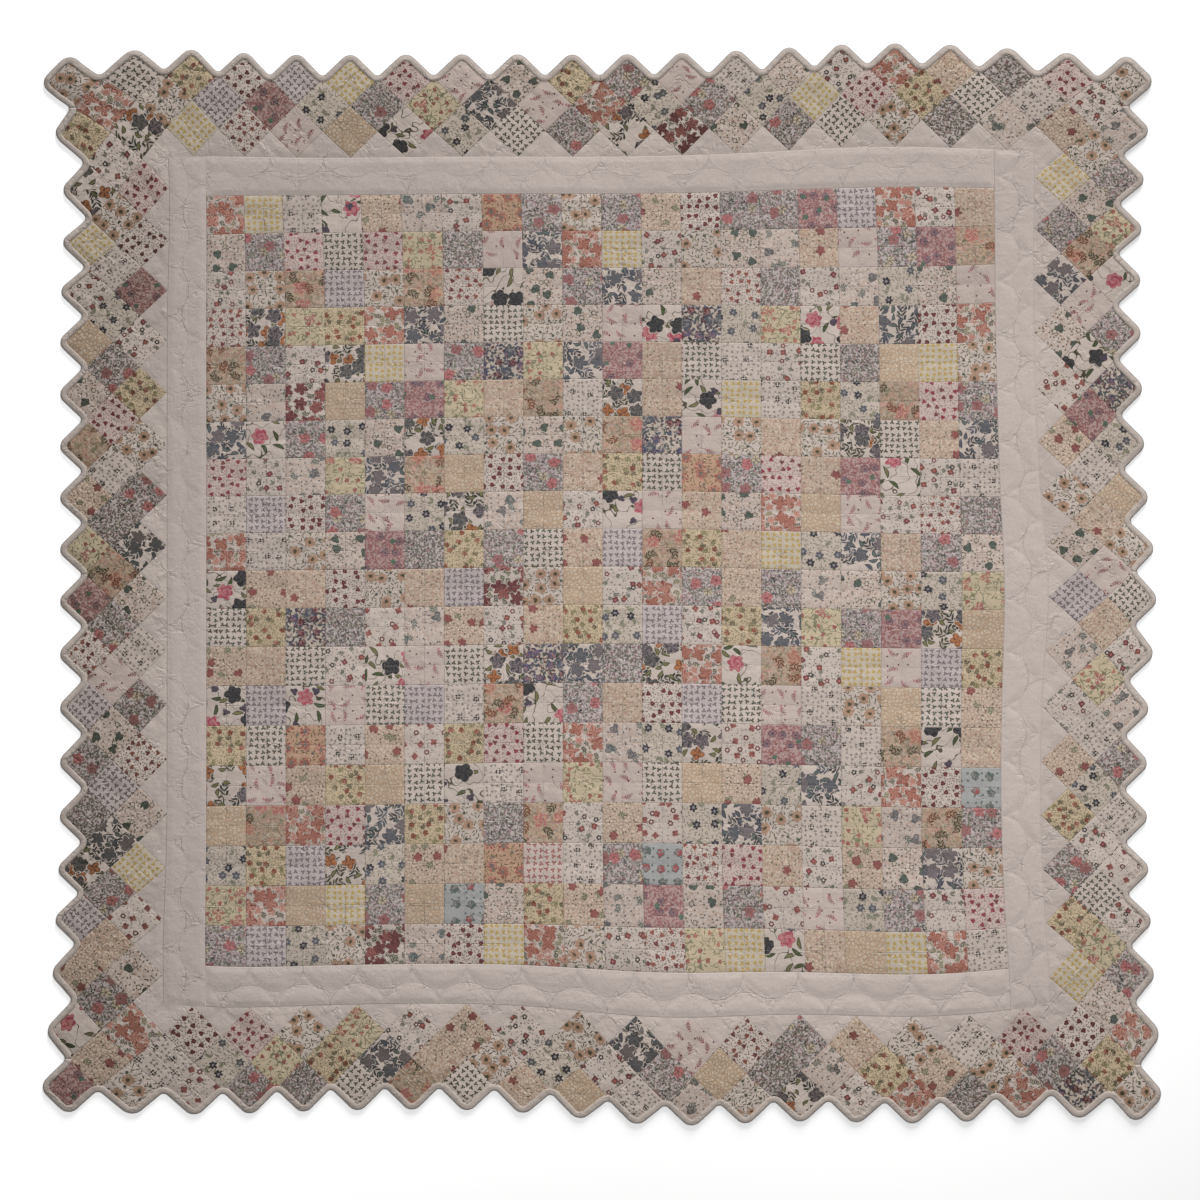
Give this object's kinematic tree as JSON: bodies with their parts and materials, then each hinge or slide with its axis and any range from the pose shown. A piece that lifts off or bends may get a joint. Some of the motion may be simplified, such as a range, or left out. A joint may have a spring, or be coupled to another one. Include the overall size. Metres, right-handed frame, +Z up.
{
  "type": "patchwork quilt",
  "caption": "Quilt of small floral square patches inside plain cream strips, with a border of squares set on their points and a bound zigzag edge, spread flat.",
  "frame": {"origin": "under the middle of the quilt's outline, on the surface it lies on", "axes": "+Z up out of the patchwork side; +Y towards the top edge and +X towards the right edge, seen from above"},
  "size_m": [2.1534, 2.0834, 0.0068],
  "materials": {
    "patchwork": "small floral printed cottons, matt, quilted, softly puffed",
    "plain_strip": "plain cream cotton, matt, quilted in shells, softly wrinkled",
    "binding": "plain beige cotton, matt, folded over the edge"
  },
  "bodies": {
    "root": {"centre_panel": "patchwork", "strip_top": "plain_strip", "strip_right": "plain_strip", "strip_bottom": "plain_strip", "strip_left": "plain_strip", "border_top": "patchwork", "border_right": "patchwork", "border_bottom": "patchwork", "border_left": "patchwork", "binding_top": "binding", "binding_right": "binding", "binding_bottom": "binding", "binding_left": "binding"}
  },
  "joints": []
}
